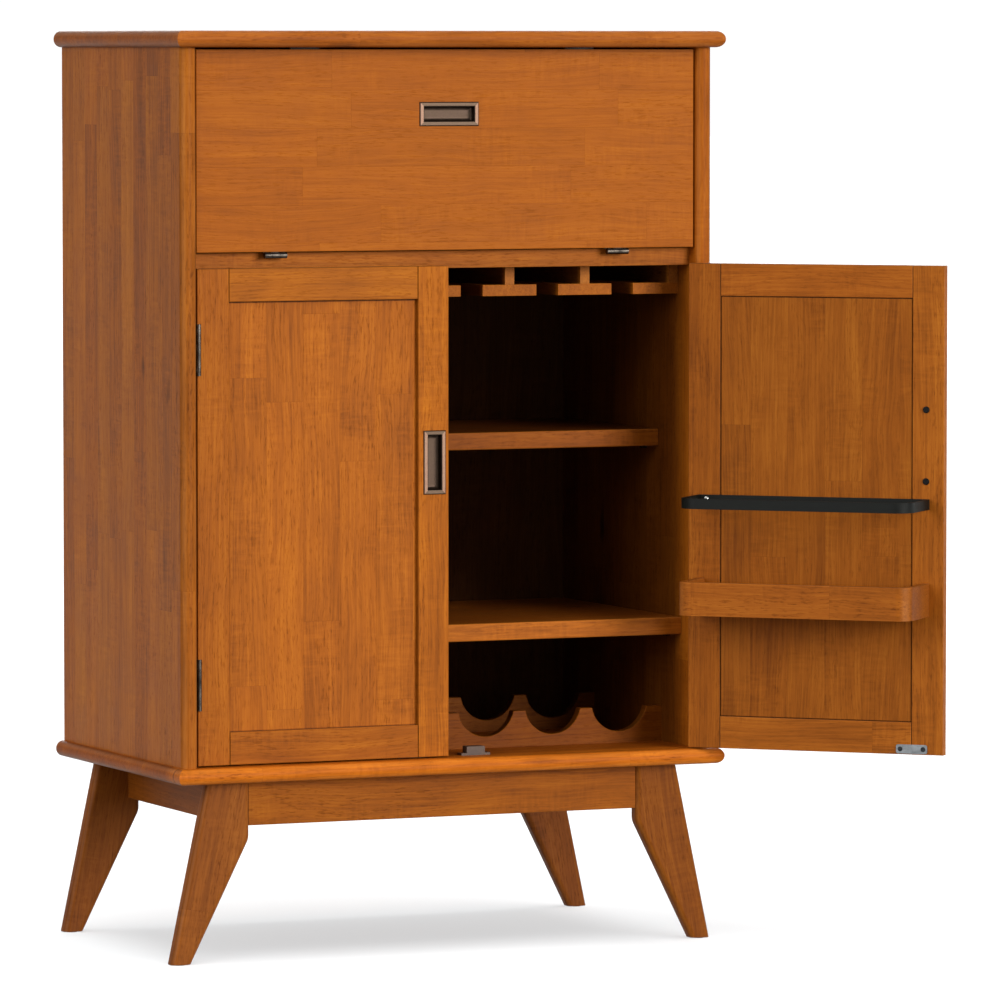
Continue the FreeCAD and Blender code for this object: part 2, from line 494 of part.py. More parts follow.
    # strike plate of the magnetic catch, and its screws
    b = body(side + "_door_strike", place)
    m, h = s * D["strike_mid"], D["strike_half"]
    pad(b, "XZ", y1, y1 + D["strike_thick"], [rect(m - h, m + h, D["strike_low"], D["strike_low"] + D["strike_tall"])])
    dress(b, "Fillet", lines(b.Shape, Y), 3.0)
    xs = [m - D["strike_screw"], m + D["strike_screw"]]
    pocket(b, "XZ", y1 - 1, y1 + 3, circles=[(x, zc, SCREW_R) for x in xs])
    b = body(side + "_door_strike_screws", place)
    pad(b, "XZ", y1 - 8, y1 + D["strike_thick"], circles=[(x, zc, SCREW_R) for x in xs])
    pad(b, "XZ", y1 + D["strike_thick"], y1 + D["strike_thick"] + 0.35, circles=[(x, zc, D["strike_head"]) for x in xs])


def cup(b, px, pz, hw, hh):
    """Rim in front of the face, cup behind it, hollowed from the front."""
    rim, proud, deep, wall = D["pull_rim"], D["pull_proud"], D["pull_deep"], D["pull_wall"]
    pad(b, "XZ", front - proud, front, [rect(px - hw, px + hw, pz - hh, pz + hh)])
    pad(b, "XZ", front, front + deep + wall, [rect(px - hw + rim, px + hw - rim, pz - hh + rim, pz + hh - rim)])
    yf = (front - proud).v
    dress(b, "Chamfer", any_edges(b.Shape, lambda e: near(e.BoundBox.YMin, yf) and near(e.BoundBox.YMax, yf)), 1.3)
    pocket(b, "XZ", front - proud - 1, front + deep, [rect(px - hw + rim + wall, px + hw - rim - wall, pz - hh + rim + wall, pz + hh - rim - wall)])
    yd = (front + deep).v
    dress(b, "Fillet", any_edges(b.Shape, lambda e: near(e.BoundBox.YMin, yd) and near(e.BoundBox.YMax, yd)), 5.0)
    cx, cz, rw_, rh_ = px.v, pz.v, hw.v - rim.v - wall.v, hh.v - rim.v - wall.v
    dress(b, "Fillet", any_edges(b.Shape, lambda e: near(e.BoundBox.YMin, yf) and near(e.BoundBox.YMax, yf)
                                 and abs(e.CenterOfMass.x - cx) < rw_ + 0.1 and abs(e.CenterOfMass.z - cz) < rh_ + 0.1), 1.6)


def pull_vertical(label, px, pz, place):
    b = body(label, place)
    cup(b, q(px), pz, D["pull_wide"] / 2, D["pull_long"] / 2)


door("left", -1, None)
door("right", 1, open_door)

# ---- tray and guard on the inside of the right door
dy1 = front + D["door_thick"]
dyf = front + D["flap_thick"]
tf = front + D["tray_front"]
ti, to, tw = D["tray_inner_x"], D["tray_outer_x"], D["tray_wall"]
b = body("bottle_tray_rim", open_door)
pad(b, "XY", D["tray_low"], D["tray_high"], [[(ti, dy1), (ti + tw, dy1), (ti + tw, tf - tw), (to - tw, tf - tw), (to - tw, dy1), (to, dy1), (to, tf), (ti, tf)]])
yy, yi = tf.v, (tf - tw).v
dress(b, "Fillet", lines(b.Shape, Z, lambda m: near(m.y, yi)), D["tray_round"] - tw)
dress(b, "Fillet", lines(b.Shape, Z, lambda m: near(m.y, yy)), D["tray_round"])
zt, zl, yd = D["tray_high"].v, D["tray_low"].v, dy1.v
dress(b, "Fillet", any_edges(b.Shape, lambda e: (near(e.BoundBox.ZMin, zt) and near(e.BoundBox.ZMax, zt)) and not near(e.CenterOfMass.y, yd)), 1.5)
b = body("bottle_tray_floor", open_door)
pad(b, "XY", D["tray_low"], D["tray_low"] + D["tray_floor"], [rect(ti + tw, to - tw, dy1, tf - tw)])
dress(b, "Fillet", lines(b.Shape, Z, lambda m: near(m.y, yi)), D["tray_round"] - tw)

b = body("bottle_guard", open_door)
gi, go, gt, gf = D["guard_inner_x"], D["guard_outer_x"], D["guard_thick"], front + D["guard_front"]
pad(b, "XY", D["guard_low"], D["guard_high"], [rect(gi, go, dy1, gf), rect(gi + gt, go - gt, dy1 + gt, gf - gt)])
yy, yi = gf.v, (gf - gt).v
dress(b, "Fillet", lines(b.Shape, Z, lambda m: near(m.y, yi)), D["guard_round"] - gt)
dress(b, "Fillet", lines(b.Shape, Z, lambda m: near(m.y, yy)), D["guard_round"])
ya, yb2 = dy1.v, (dy1 + gt).v
dress(b, "Fillet", lines(b.Shape, X, lambda m: near(m.y, yb2) or near(m.y, yy) or near(m.y, yi)), 0.5)
screws = [(D["guard_screw_free_x"], D["guard_screw_free_z"]), (D["guard_screw_hinge_x"], D["guard_screw_hinge_z"])]
pocket(b, "XZ", dy1 - 1, dy1 + gt + 1, circles=[(x, z, 1.5) for x, z in screws])
b = body("bottle_guard_screws", open_door)
pad(b, "XZ", dy1 - 9, dy1 + gt, circles=[(x, z, 1.5) for x, z in screws])
pad(b, "XZ", dy1 + gt, dy1 + gt + 1.8, circles=[(x, z, D["guard_screw_radius"]) for x, z in screws])
yh = (dy1 + gt + 1.8).v
dress(b, "Fillet", any_edges(b.Shape, lambda e: near(e.BoundBox.YMin, yh) and near(e.BoundBox.YMax, yh)), 1.2)
pocket(doc.getObjectsByLabel("right_door_hinge_stile")[0], "XZ", dy1 - 9, dy1 + 1, circles=[(D["guard_screw_hinge_x"], D["guard_screw_hinge_z"], 1.5)])

b = body("right_door_buttons", open_door)
bz = (D["button_low_z"], D["button_high_z"])
pad(b, "XZ", dy1 - 2.5, dy1, circles=[(D["button_x"], z, 2.0) for z in bz])
pad(b, "XZ", dy1, dy1 + D["button_tall"], circles=[(D["button_x"], z, D["button_radius"]) for z in bz])
yh = (dy1 + D["button_tall"]).v
dress(b, "Fillet", any_edges(b.Shape, lambda e: near(e.BoundBox.YMin, yh) and near(e.BoundBox.YMax, yh)), 1.2)

# ---- magnetic catches: two for the doors on the bottom board, two for the drop-front under the top
b = body("magnetic_catches")
for face, out, z, up in ((dy1, D["catch_x"], D["plinth_top"], 1), (dyf, D["flap_catch_x"], top_low, -1)):
    cy0 = face + D["strike_thick"] + D["catch_gap"]
    h, k = D["catch_half"], D["catch_body_half"]
    z1, z2 = z + up * D["catch_base"], z + up * D["catch_tall"]
    pad(b, "XZ", cy0, cy0 + D["catch_deep"], [[(cx - h, z), (cx + h, z), (cx + h, z1), (cx + k, z1), (cx + k, z2), (cx - k, z2), (cx - k, z1), (cx - h, z1)]
                                              for cx in (-out, out)])
dress(b, "Fillet", lines(b.Shape, Y, lambda m: near(m.z, (D["plinth_top"] + D["catch_tall"]).v) or near(m.z, (top_low - D["catch_tall"]).v)), 1.0)

# ---- drop-front, its pull, strikes and hinges
b = body("drop_front_panel")
fh = D["flap_half"]
pad(b, "XZ", front, front + D["flap_thick"], [rect(-D["flap_left"], fh, D["flap_low"], D["flap_high"])])
ya, yb2 = front.v, (front + D["flap_thick"]).v
dress(b, "Fillet", lines(b.Shape, None, lambda m: near(m.y, ya) or near(m.y, yb2)), D["edge_round"])
cw, ch = D["pull_long"] / 2 - D["pull_rim"] + D["pull_play"], D["pull_wide"] / 2 - D["pull_rim"] + D["pull_play"]
pocket(b, "XZ", front - 1, front + D["pull_deep"] + D["pull_wall"] + 0.5, [rect(-cw, cw, D["pull_flap_z"] - ch, D["pull_flap_z"] + ch)])
b = body("drop_front_pull")
cup(b, q(0), D["pull_flap_z"], D["pull_long"] / 2, D["pull_wide"] / 2)
b = body("drop_front_strikes")
sz = D["flap_high"] - 2.0
pad(b, "XZ", dyf, dyf + D["strike_thick"], [rect(s * D["flap_catch_x"] - D["strike_half"], s * D["flap_catch_x"] + D["strike_half"], sz - D["strike_tall"], sz) for s in (-1, 1)])
dress(b, "Fillet", lines(b.Shape, Y), 3.0)

axy, axz = front + D["flap_axis_y"], D["flap_axis_z"]
kr, pr, g, hh = D["flap_knuckle"], D["flap_pin"], D["knuckle_gap"], D["flap_hinge_half"]
clear_y = axy + kr + 1.2
for label, own, z0, z1, ydeep in (("drop_front_hinge_fixed_leaves", (0, 2), D["rail_high"], D["rail_high"] + D["flap_leaf"], front + D["rail_inset"] + D["flap_leaf_deep"]),
                                  ("drop_front_hinge_leaves", (1,), D["flap_low"] - D["flap_leaf"], D["flap_low"], front + D["flap_leaf_deep"])):
    b = body(label)
    plans, webs_, turned = [], [], []
    for s in (-1, 1):
        m = s * D["flap_hinge_x"]
        third = hh * 2 / 3
        e0, e1, e2, e3 = m - hh, m - hh + third, m + hh - third, m + hh
        if own == (0, 2):
            plans.append([(e0, axy), (e1 - g, axy), (e1 - g, clear_y), (e2 + g, clear_y), (e2 + g, axy), (e3, axy), (e3, ydeep), (e0, ydeep)])
            webs_ += [(e0, e1 - g), (e2 + g, e3)]
            turned.append([(e0, q(0)), (e3, q(0)), (e3, kr), (e2 + g, kr), (e2 + g, pr), (e1 - g, pr), (e1 - g, kr), (e0, kr)])
        else:
            plans.append([(e0, clear_y), (e1 + g, clear_y), (e1 + g, axy), (e2 - g, axy), (e2 - g, clear_y), (e3, clear_y), (e3, ydeep), (e0, ydeep)])
            webs_ += [(e1 + g, e2 - g)]
            turned.append(rect(e1 + g, e2 - g, pr + D["pin_play"], kr))
    pad(b, "XY", z0, z1, plans)
    pad(b, "XY", axz, z1, [rect(u, v, axy, axy + 1.1) for u, v in webs_])
    revolve(b, "XZ", axy, (q(0), axz), turned, "H_Axis")
    if own == (1,):
        pocket(b, "YZ", -(D["flap_hinge_x"] + hh + 1), D["flap_hinge_x"] + hh + 1, circles=[(axy, axz, pr + D["pin_play"])])

# ---- slotted stays: arm pivots on the drop-front and slides on a stud fixed to the side
# Stud and pivot are both stay_arm from the hinge axis, so the arm turns by half the drop-front's angle.
sa = D["stay_arm"]
py_ = D["flap_thick"] - D["flap_axis_y"] + D["stay_stand"]
pz_ = qroot(sa * sa - py_ * py_)
beta = Q(math.degrees(math.atan2(py_.v, pz_.v)), "(atan2(%s; %s) / 1 deg)" % (py_.e, pz_.e))
gamma = beta + D["stay_spread"]
p2y, p2z = axy + py_, axz + pz_
p1y, p1z = axy + sa * qsin(gamma), axz + sa * qcos(gamma)
near_r = 2 * sa * qsin(D["stay_spread"] / 2)
far_r = 2 * sa * qsin((D["stay_spread"] + D["stay_reach"]) / 2)
sx, st, sh, sr = D["stay_x"], D["stay_thick"], D["stay_half"], D["stud_radius"]
tilt = -(beta + D["stay_spread"] / 2)


def lay_stay(obj):
    obj.Placement = FreeCAD.Placement(Vector(0, 0, 0), Rotation(Vector(1, 0, 0), 10.0))
    obj.Placement = FreeCAD.Placement(Vector(0, 0, 0), Rotation(Vector(1, 0, 0), tilt.v))
    bind(obj, "Placement.Rotation.Angle", -tilt if obj.Placement.Rotation.Axis.x < 0 else tilt)
    bind(obj, "Placement.Base.y", p2y)
    bind(obj, "Placement.Base.z", p2z)


for label, s in (("stay_arm_left", -1), ("stay_arm_right", 1)):
    b = body(label, lay_stay)
    lo, hi = (sx, sx + st) if s > 0 else (-(sx + st), -sx)
    end = far_r + 0.6
    pad(b, "YZ", lo, hi, [rect(q(0), end, -sh, sh)])
    pad(b, "YZ", lo, hi, circles=[(q(0), q(0), sh)])
    pad(b, "YZ", lo, hi, circles=[(end, q(0), sh)])
    sl = sr + D["slot_play"]
    pocket(b, "YZ", lo - 1, hi + 1, [rect(near_r - 0.6, end, -sl, sl)])
    pocket(b, "YZ", lo - 1, hi + 1, circles=[(near_r - 0.6, q(0), sl)])
    pocket(b, "YZ", lo - 1, hi + 1, circles=[(end, q(0), sl)])
    pocket(b, "YZ", lo - 1, hi + 1, circles=[(q(0), q(0), sr + D["pin_play"])])

b = body("stay_studs")
for s in (-1, 1):
    def span(u, v):
        return (q(u), q(v)) if s > 0 else (-q(v), -q(u))
    lo, hi = span(inner - 1.8, inner)
    pad(b, "YZ", lo, hi, circles=[(p1y, p1z, 13.0)])
    lo, hi = span(sx - 2.4, inner - 1.8)
    pad(b, "YZ", lo, hi, circles=[(p1y, p1z, sr)])
    lo, hi = span(sx - 2.4, sx - 0.6)
    pad(b, "YZ", lo, hi, circles=[(p1y, p1z, 5.0)])
b = body("stay_brackets")
for s in (-1, 1):
    def span(u, v):
        return (q(u), q(v)) if s > 0 else (-q(v), -q(u))
    lo, hi = span(sx - 26.0, sx + 5.5)
    pad(b, "XZ", dyf, dyf + 1.6, [rect(lo, hi, p2z - 15.0, p2z + 15.0)])
    lo, hi = span(sx + st + 0.8, sx + 5.5)
    pad(b, "YZ", lo, hi, [[(dyf, p2z - 12.0), (p2y, p2z - 7.0), (p2y + 6.0, p2z - 4.0), (p2y + 6.0, p2z + 4.0), (p2y, p2z + 7.0), (dyf, p2z + 12.0)]])
    lo, hi = span(sx - 2.0, sx + st + 0.8)
    pad(b, "YZ", lo, hi, circles=[(p2y, p2z, sr)])
    lo, hi = span(sx - 2.0, sx - 0.6)
    pad(b, "YZ", lo, hi, circles=[(p2y, p2z, 4.5)])

# ---- the right door's pieces are turned into the rest pose, the stays laid along their line
for piece, put in LATER:
    put(piece)
doc.recompute()

# ---- check every object and write the sub-parts
for obj in doc.Objects:
    if any(word in obj.State for word in ("Invalid", "Error")):
        raise RuntimeError("object in error: " + obj.Label)
names = set()
for part in PARTS:
    shape = part.Shape
    if shape.isNull() or not shape.isValid() or not shape.Solids:
        raise RuntimeError("bad shape: " + part.Label)
    if part.Label in names:
        raise RuntimeError("two sub-parts share the name " + part.Label)
    names.add(part.Label)
    shape.exportStep("parts/%s.step" % part.Label)
print("sub-parts written:", len(names))
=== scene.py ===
import math
import bpy
from mathutils import Vector, Matrix

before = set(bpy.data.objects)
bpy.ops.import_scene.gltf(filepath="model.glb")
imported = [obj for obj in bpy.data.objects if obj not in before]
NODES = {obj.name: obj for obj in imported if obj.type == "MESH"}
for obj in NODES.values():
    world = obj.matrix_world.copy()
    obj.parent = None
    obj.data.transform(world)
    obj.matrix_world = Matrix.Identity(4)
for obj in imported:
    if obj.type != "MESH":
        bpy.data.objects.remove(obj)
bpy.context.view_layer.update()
scene = bpy.context.scene

# ---------------------------------------------------------------- facts of the frame, in metres
DOOR_TURN = math.radians(136.2)            # the right door stands open by this angle
HINGE = Vector((0.36972, -0.230, 0.0))     # its hinge axis
FRONT = -0.227


# ---------------------------------------------------------------- small helpers for node trees
class Tree:
    """Short ways to make shader nodes. Any input may be a number, a tuple or a socket."""

    def __init__(self, tree):
        self.t = tree

    def put(self, kind, **settings):
        n = self.t.nodes.new(kind)
        for k, v in settings.items():
            setattr(n, k, v)
        return n

    def feed(self, socket, value):
        if isinstance(value, bpy.types.NodeSocket):
            self.t.links.new(value, socket)
        elif value is not None:
            socket.default_value = value

    def math(self, op, a, b=None, c=None, clamp=False):
        n = self.put("ShaderNodeMath", operation=op, use_clamp=clamp)
        for s, v in zip(n.inputs, (a, b, c)):
            self.feed(s, v)
        return n.outputs[0]

    def vec(self, op, a, b=None, scale=None):
        n = self.put("ShaderNodeVectorMath", operation=op)
        self.feed(n.inputs[0], a)
        if b is not None:
            self.feed(n.inputs[1], b)
        if scale is not None:
            self.feed(n.inputs["Scale"], scale)
        return n.outputs[1] if op in ("LENGTH", "DISTANCE", "DOT_PRODUCT") else n.outputs[0]

    def split(self, v):
        n = self.put("ShaderNodeSeparateXYZ")
        self.feed(n.inputs[0], v)
        return n.outputs[0], n.outputs[1], n.outputs[2]

    def join(self, x, y, z):
        n = self.put("ShaderNodeCombineXYZ")
        for s, v in zip(n.inputs, (x, y, z)):
            self.feed(s, v)
        return n.outputs[0]

    def noise(self, v, scale, detail=2.0, rough=0.5, distort=0.0):
        n = self.put("ShaderNodeTexNoise")
        self.feed(n.inputs["Vector"], v)
        for name, val in (("Scale", scale), ("Detail", detail), ("Roughness", rough), ("Distortion", distort)):
            self.feed(n.inputs[name], val)
        return n.outputs["Fac"]

    def white(self, v):
        n = self.put("ShaderNodeTexWhiteNoise", noise_dimensions="3D")
        self.feed(n.inputs["Vector"], v)
        return n.outputs["Value"], n.outputs["Color"]

    def ramp(self, x, lo, hi, out_lo=0.0, out_hi=1.0, smooth=True):
        n = self.put("ShaderNodeMapRange")
        n.interpolation_type = "SMOOTHSTEP" if smooth else "LINEAR"
        n.clamp = True
        for s, v in zip(n.inputs, (x, lo, hi, out_lo, out_hi)):
            self.feed(s, v)
        return n.outputs[0]

    def colours(self, x, stops):
        n = self.put("ShaderNodeValToRGB")
        r = n.color_ramp
        r.interpolation = "LINEAR"
        while len(r.elements) < len(stops):
            r.elements.new(0.5)
        for e, (at, c) in zip(r.elements, stops):
            e.position = at
            e.color = (*c, 1.0)
        self.feed(n.inputs[0], x)
        return n.outputs[0]

    def mix(self, fac, a, b, kind="MIX"):
        n = self.put("ShaderNodeMix", data_type="RGBA", blend_type=kind)
        self.feed(n.inputs[0], fac)
        for s, v in ((n.inputs[6], a), (n.inputs[7], b)):
            self.feed(s, (*v, 1.0) if isinstance(v, tuple) and len(v) == 3 else v)
        return n.outputs[2]


def linear(h):
    """A colour written as six hex digits, as linear numbers."""
    out = []
    for i in (0, 2, 4):
        c = int(h[i:i + 2], 16) / 255.0
        out.append(c / 12.92 if c <= 0.04045 else ((c + 0.055) / 1.055) ** 2.4)
    return tuple(out)


# ---------------------------------------------------------------- wood
def wood_group():
    """Glued staves: x runs across the staves, y through the board, z along the grain, in metres."""
    g = bpy.data.node_groups.new("stained_wood", "ShaderNodeTree")
    face = g.interface
    face.new_socket("Vector", in_out="INPUT", socket_type="NodeSocketVector")
    face.new_socket("Normal", in_out="INPUT", socket_type="NodeSocketVector")
    for name, val in (("Stave Width", 0.045), ("Stave Length", 0.45), ("Seed", 0.0), ("Stave Contrast", 1.0), ("Knots", 1.0),
                      ("Figure", 1.0), ("Pores", 1.0), ("Warmth", 0.0), ("Edge", 1.0), ("Curl", 1.0)):
        s = face.new_socket(name, in_out="INPUT", socket_type="NodeSocketFloat")
        s.default_value = val
    face.new_socket("Tint", in_out="INPUT", socket_type="NodeSocketVector")
    face.new_socket("Color", in_out="OUTPUT", socket_type="NodeSocketColor")
    face.new_socket("Height", in_out="OUTPUT", socket_type="NodeSocketFloat")
    face.new_socket("Roughness", in_out="OUTPUT", socket_type="NodeSocketFloat")
    t = Tree(g)
    i = t.put("NodeGroupInput").outputs
    o = t.put("NodeGroupOutput").inputs
    x, y, z = t.split(i["Vector"])
    seed = i["Seed"]
    # which stave, and which length of it
    xs = t.math("ADD", t.math("DIVIDE", x, i["Stave Width"]), t.math("MULTIPLY", seed, 0.37))
    col = t.math("FLOOR", xs)
    r1, _ = t.white(t.join(col, seed, 3.7))
    zs = t.math("ADD", t.math("DIVIDE", z, i["Stave Length"]), t.math("MULTIPLY", r1, 7.31))
    row = t.math("FLOOR", zs)
    _, rnd = t.white(t.join(col, row, t.math("ADD", seed, 11.3)))
    ra, rb, rc = t.split(rnd)
    # thin glue lines between staves and at their ends
    fx = t.math("MULTIPLY", t.math("SUBTRACT", 0.5, t.math("ABSOLUTE", t.math("SUBTRACT", t.math("FRACT", xs), 0.5))), i["Stave Width"])
    fz = t.math("MULTIPLY", t.math("SUBTRACT", 0.5, t.math("ABSOLUTE", t.math("SUBTRACT", t.math("FRACT", zs), 0.5))), i["Stave Length"])
    glue = t.math("MAXIMUM", t.ramp(fx, 0.00015, 0.0007, 1.0, 0.0), t.ramp(fz, 0.0002, 0.0009, 1.0, 0.0))
    # each length of stave has its own piece of wood
    shift = t.vec("SCALE", t.vec("SUBTRACT", rnd, (0.5, 0.5, 0.5)), scale=9.0)
    lean = t.math("MULTIPLY", t.math("SUBTRACT", rb, 0.5), 0.06)
    p = t.vec("ADD", t.join(t.math("ADD", x, t.math("MULTIPLY", z, lean)), y, z), shift)
    px, py, pz = t.split(p)

    def scaled(ax, ay, az):
        return t.join(t.math("MULTIPLY", px, ax), t.math("MULTIPLY", py, ay), t.math("MULTIPLY", pz, az))

    sway = t.noise(scaled(6.0, 6.0, 3.2), 1.0, 2.0, 0.5)
    sx = t.math("ADD", px, t.math("MULTIPLY", t.math("SUBTRACT", sway, 0.5), 0.035))

    def grain(ax, ay, az):
        return t.join(t.math("MULTIPLY", sx, ax), t.math("MULTIPLY", py, ay), t.math("MULTIPLY", pz, az))

    broad = t.noise(grain(34.0, 34.0, 1.9), 1.0, 4.0, 0.55, 0.35)
    rings = t.noise(grain(170.0, 90.0, 2.6), 1.0, 4.0, 0.62, 0.4)
    fibre = t.noise(grain(430.0, 320.0, 12.0), 1.0, 3.0, 0.65)
    blotch = t.noise(scaled(14.0, 14.0, 9.0), 1.0, 4.0, 0.58, 0.3)
    curl = t.noise(scaled(30.0, 30.0, 170.0), 1.0, 2.0, 0.5, 0.6)
    curl_where = t.ramp(t.noise(scaled(12.0, 12.0, 8.0), 1.0, 1.0), 0.46, 0.62)
    tick = t.noise(grain(470.0, 380.0, 75.0), 1.0, 2.0, 0.6)
    tick_where = t.ramp(broad, 0.35, 0.68, 0.25, 1.0)
    pores = t.math("MULTIPLY", t.ramp(tick, 0.52, 0.68), tick_where)
    fleck = t.math("MULTIPLY", t.ramp(t.noise(grain(300.0, 200.0, 30.0), 1.0, 3.0, 0.6), 0.60, 0.74), t.ramp(blotch, 0.45, 0.65))
    streak = t.ramp(t.noise(grain(240.0, 120.0, 1.3), 1.0, 3.0, 0.6, 0.2), 0.60, 0.76)
    # sparse knots and smudges
    kn = t.put("ShaderNodeTexVoronoi", voronoi_dimensions="3D", feature="F1", distance="EUCLIDEAN")
    t.feed(kn.inputs["Vector"], scaled(15.0, 7.0, 5.0))
    kn.inputs["Scale"].default_value = 1.0
    kr, _, _ = t.split(kn.outputs["Color"])
    rare = t.ramp(kr, 0.78, 0.82)
    wob = t.math("ADD", kn.outputs["Distance"], t.math("MULTIPLY", t.math("SUBTRACT", t.noise(scaled(60.0, 60.0, 22.0), 1.0, 3.0, 0.6), 0.5), 0.22))
    knot = t.math("MULTIPLY", t.math("MULTIPLY", t.ramp(wob, 0.01, 0.17, 1.0, 0.0), rare), i["Knots"])
    # light and dark of the figure
    fig = t.math("MULTIPLY", t.math("SUBTRACT", broad, 0.5), 0.40)
    fig = t.math("ADD", fig, t.math("MULTIPLY", t.math("SUBTRACT", rings, 0.5), 0.34))
    fig = t.math("ADD", fig, t.math("MULTIPLY", t.math("SUBTRACT", fibre, 0.5), 0.50))
    fig = t.math("ADD", fig, t.math("MULTIPLY", t.math("SUBTRACT", blotch, 0.5), 0.38))
    ripple = t.math("MULTIPLY", t.math("MULTIPLY", t.math("SUBTRACT", curl, 0.5), curl_where), i["Curl"])
    fig = t.math("ADD", fig, t.math("MULTIPLY", ripple, 0.26))
    fig = t.math("MULTIPLY", fig, i["Figure"])
    stave = t.math("MULTIPLY", t.math("SUBTRACT", ra, 0.5), i["Stave Contrast"])
    v = t.math("ADD", t.math("ADD", 0.5, fig), t.math("MULTIPLY", stave, 0.42))
    v = t.math("SUBTRACT", v, t.math("MULTIPLY", t.math("MULTIPLY", pores, i["Pores"]), 0.19))
    v = t.math("SUBTRACT", v, t.math("MULTIPLY", t.math("MULTIPLY", fleck, i["Pores"]), 0.10))
    v = t.math("SUBTRACT", v, t.math("MULTIPLY", t.math("MULTIPLY", streak, i["Figure"]), 0.09))
    v = t.math("SUBTRACT", v, t.math("MULTIPLY", knot, 0.42))
    v = t.math("SUBTRACT", v, t.math("MULTIPLY", glue, 0.05))
    base = t.colours(v, [(0.0, linear("401A05")), (0.25, linear("743A0A")), (0.5, linear("9A5211")), (0.75, linear("B26619")), (1.0, linear("CC8430"))])
    # stain took redder or yellower from stave to stave
    red = t.mix(1.0, base, (1.04, 0.93, 0.88), "MULTIPLY")
    yel = t.mix(1.0, base, (0.99, 1.05, 0.98), "MULTIPLY")
    hue = t.math("ADD", t.math("MULTIPLY", t.math("SUBTRACT", rc, 0.5), t.math("MULTIPLY", i["Stave Contrast"], 0.9)), t.math("ADD", 0.5, i["Warmth"]), clamp=True)
    base = t.mix(hue, red, yel)
    # rounded edges are rubbed a little lighter, end grain drinks more stain
    nx, ny, nz = t.split(t.vec("ABSOLUTE", i["Normal"]))
    flat = t.math("MAXIMUM", t.math("MAXIMUM", nx, ny), nz)
    rub = t.math("MULTIPLY", t.ramp(flat, 0.80, 0.985, 1.0, 0.0), t.ramp(t.noise(scaled(30.0, 30.0, 9.0), 1.0, 3.0, 0.6), 0.30, 0.65, 0.35, 1.0))
    rub = t.math("MULTIPLY", rub, i["Edge"])
    base = t.mix(t.math("MULTIPLY", rub, 0.16), base, linear("D08A44"))
    end = t.ramp(nz, 0.90, 0.99)
    base = t.mix(t.math("MULTIPLY", end, 0.30), base, linear("5A2C10"))
    # painted shade: rounded edges are darkened where they turn away from the viewer
    away = t.put("ShaderNodeLayerWeight")
    away.inputs["Blend"].default_value = 0.5
    turn = t.math("MULTIPLY", t.ramp(away.outputs["Facing"], 0.50, 0.95), t.ramp(flat, 0.93, 0.999, 1.0, 0.0))
    base = t.mix(t.math("MULTIPLY", t.math("MULTIPLY", turn, i["Edge"]), 0.72), base, linear("3A2210"))
    base = t.vec("MULTIPLY", base, i["Tint"])
    t.feed(o["Color"], base)
    h = t.math("SUBTRACT", t.math("MULTIPLY", fibre, 0.35), t.math("MULTIPLY", pores, 0.8))
    h = t.math("SUBTRACT", h, t.math("MULTIPLY", glue, 0.5))
    h = t.math("ADD", h, t.math("MULTIPLY", curl, 0.25))
    t.feed(o["Height"], h)
    rough = t.math("ADD", 0.42, t.math("MULTIPLY", blotch, 0.12))
    rough = t.math("ADD", rough, t.math("MULTIPLY", pores, 0.12))
    t.feed(o["Roughness"], t.math("ADD", rough, t.math("MULTIPLY", rub, -0.04)))
    return g


WOOD = wood_group()
AXES = {
    # world axis that runs (across the staves, through the board, along the grain)
    "side": (1, 0, 2), "front_v": (0, 1, 2), "front_h": (2, 1, 0), "flat_x": (1, 2, 0), "depth": (0, 2, 1), "side_h": (2, 0, 1),
}


def frame_matrix(way, turned=False, lean=0.0):
    """World to wood coordinates: rows are the across, through and along axes."""
    m = Matrix.Identity(3)
    rows = [Vector([1.0 if k == a else 0.0 for k in range(3)]) for a in AXES[way]]
    m = Matrix(rows)
    if m.determinant() < 0:
        m = Matrix((rows[0], -rows[1], rows[2]))
    if lean:
        m = m @ Matrix.Rotation(lean, 3, "Y")
    if turned:
        m = m @ Matrix.Rotation(-DOOR_TURN, 3, "Z")
    return m


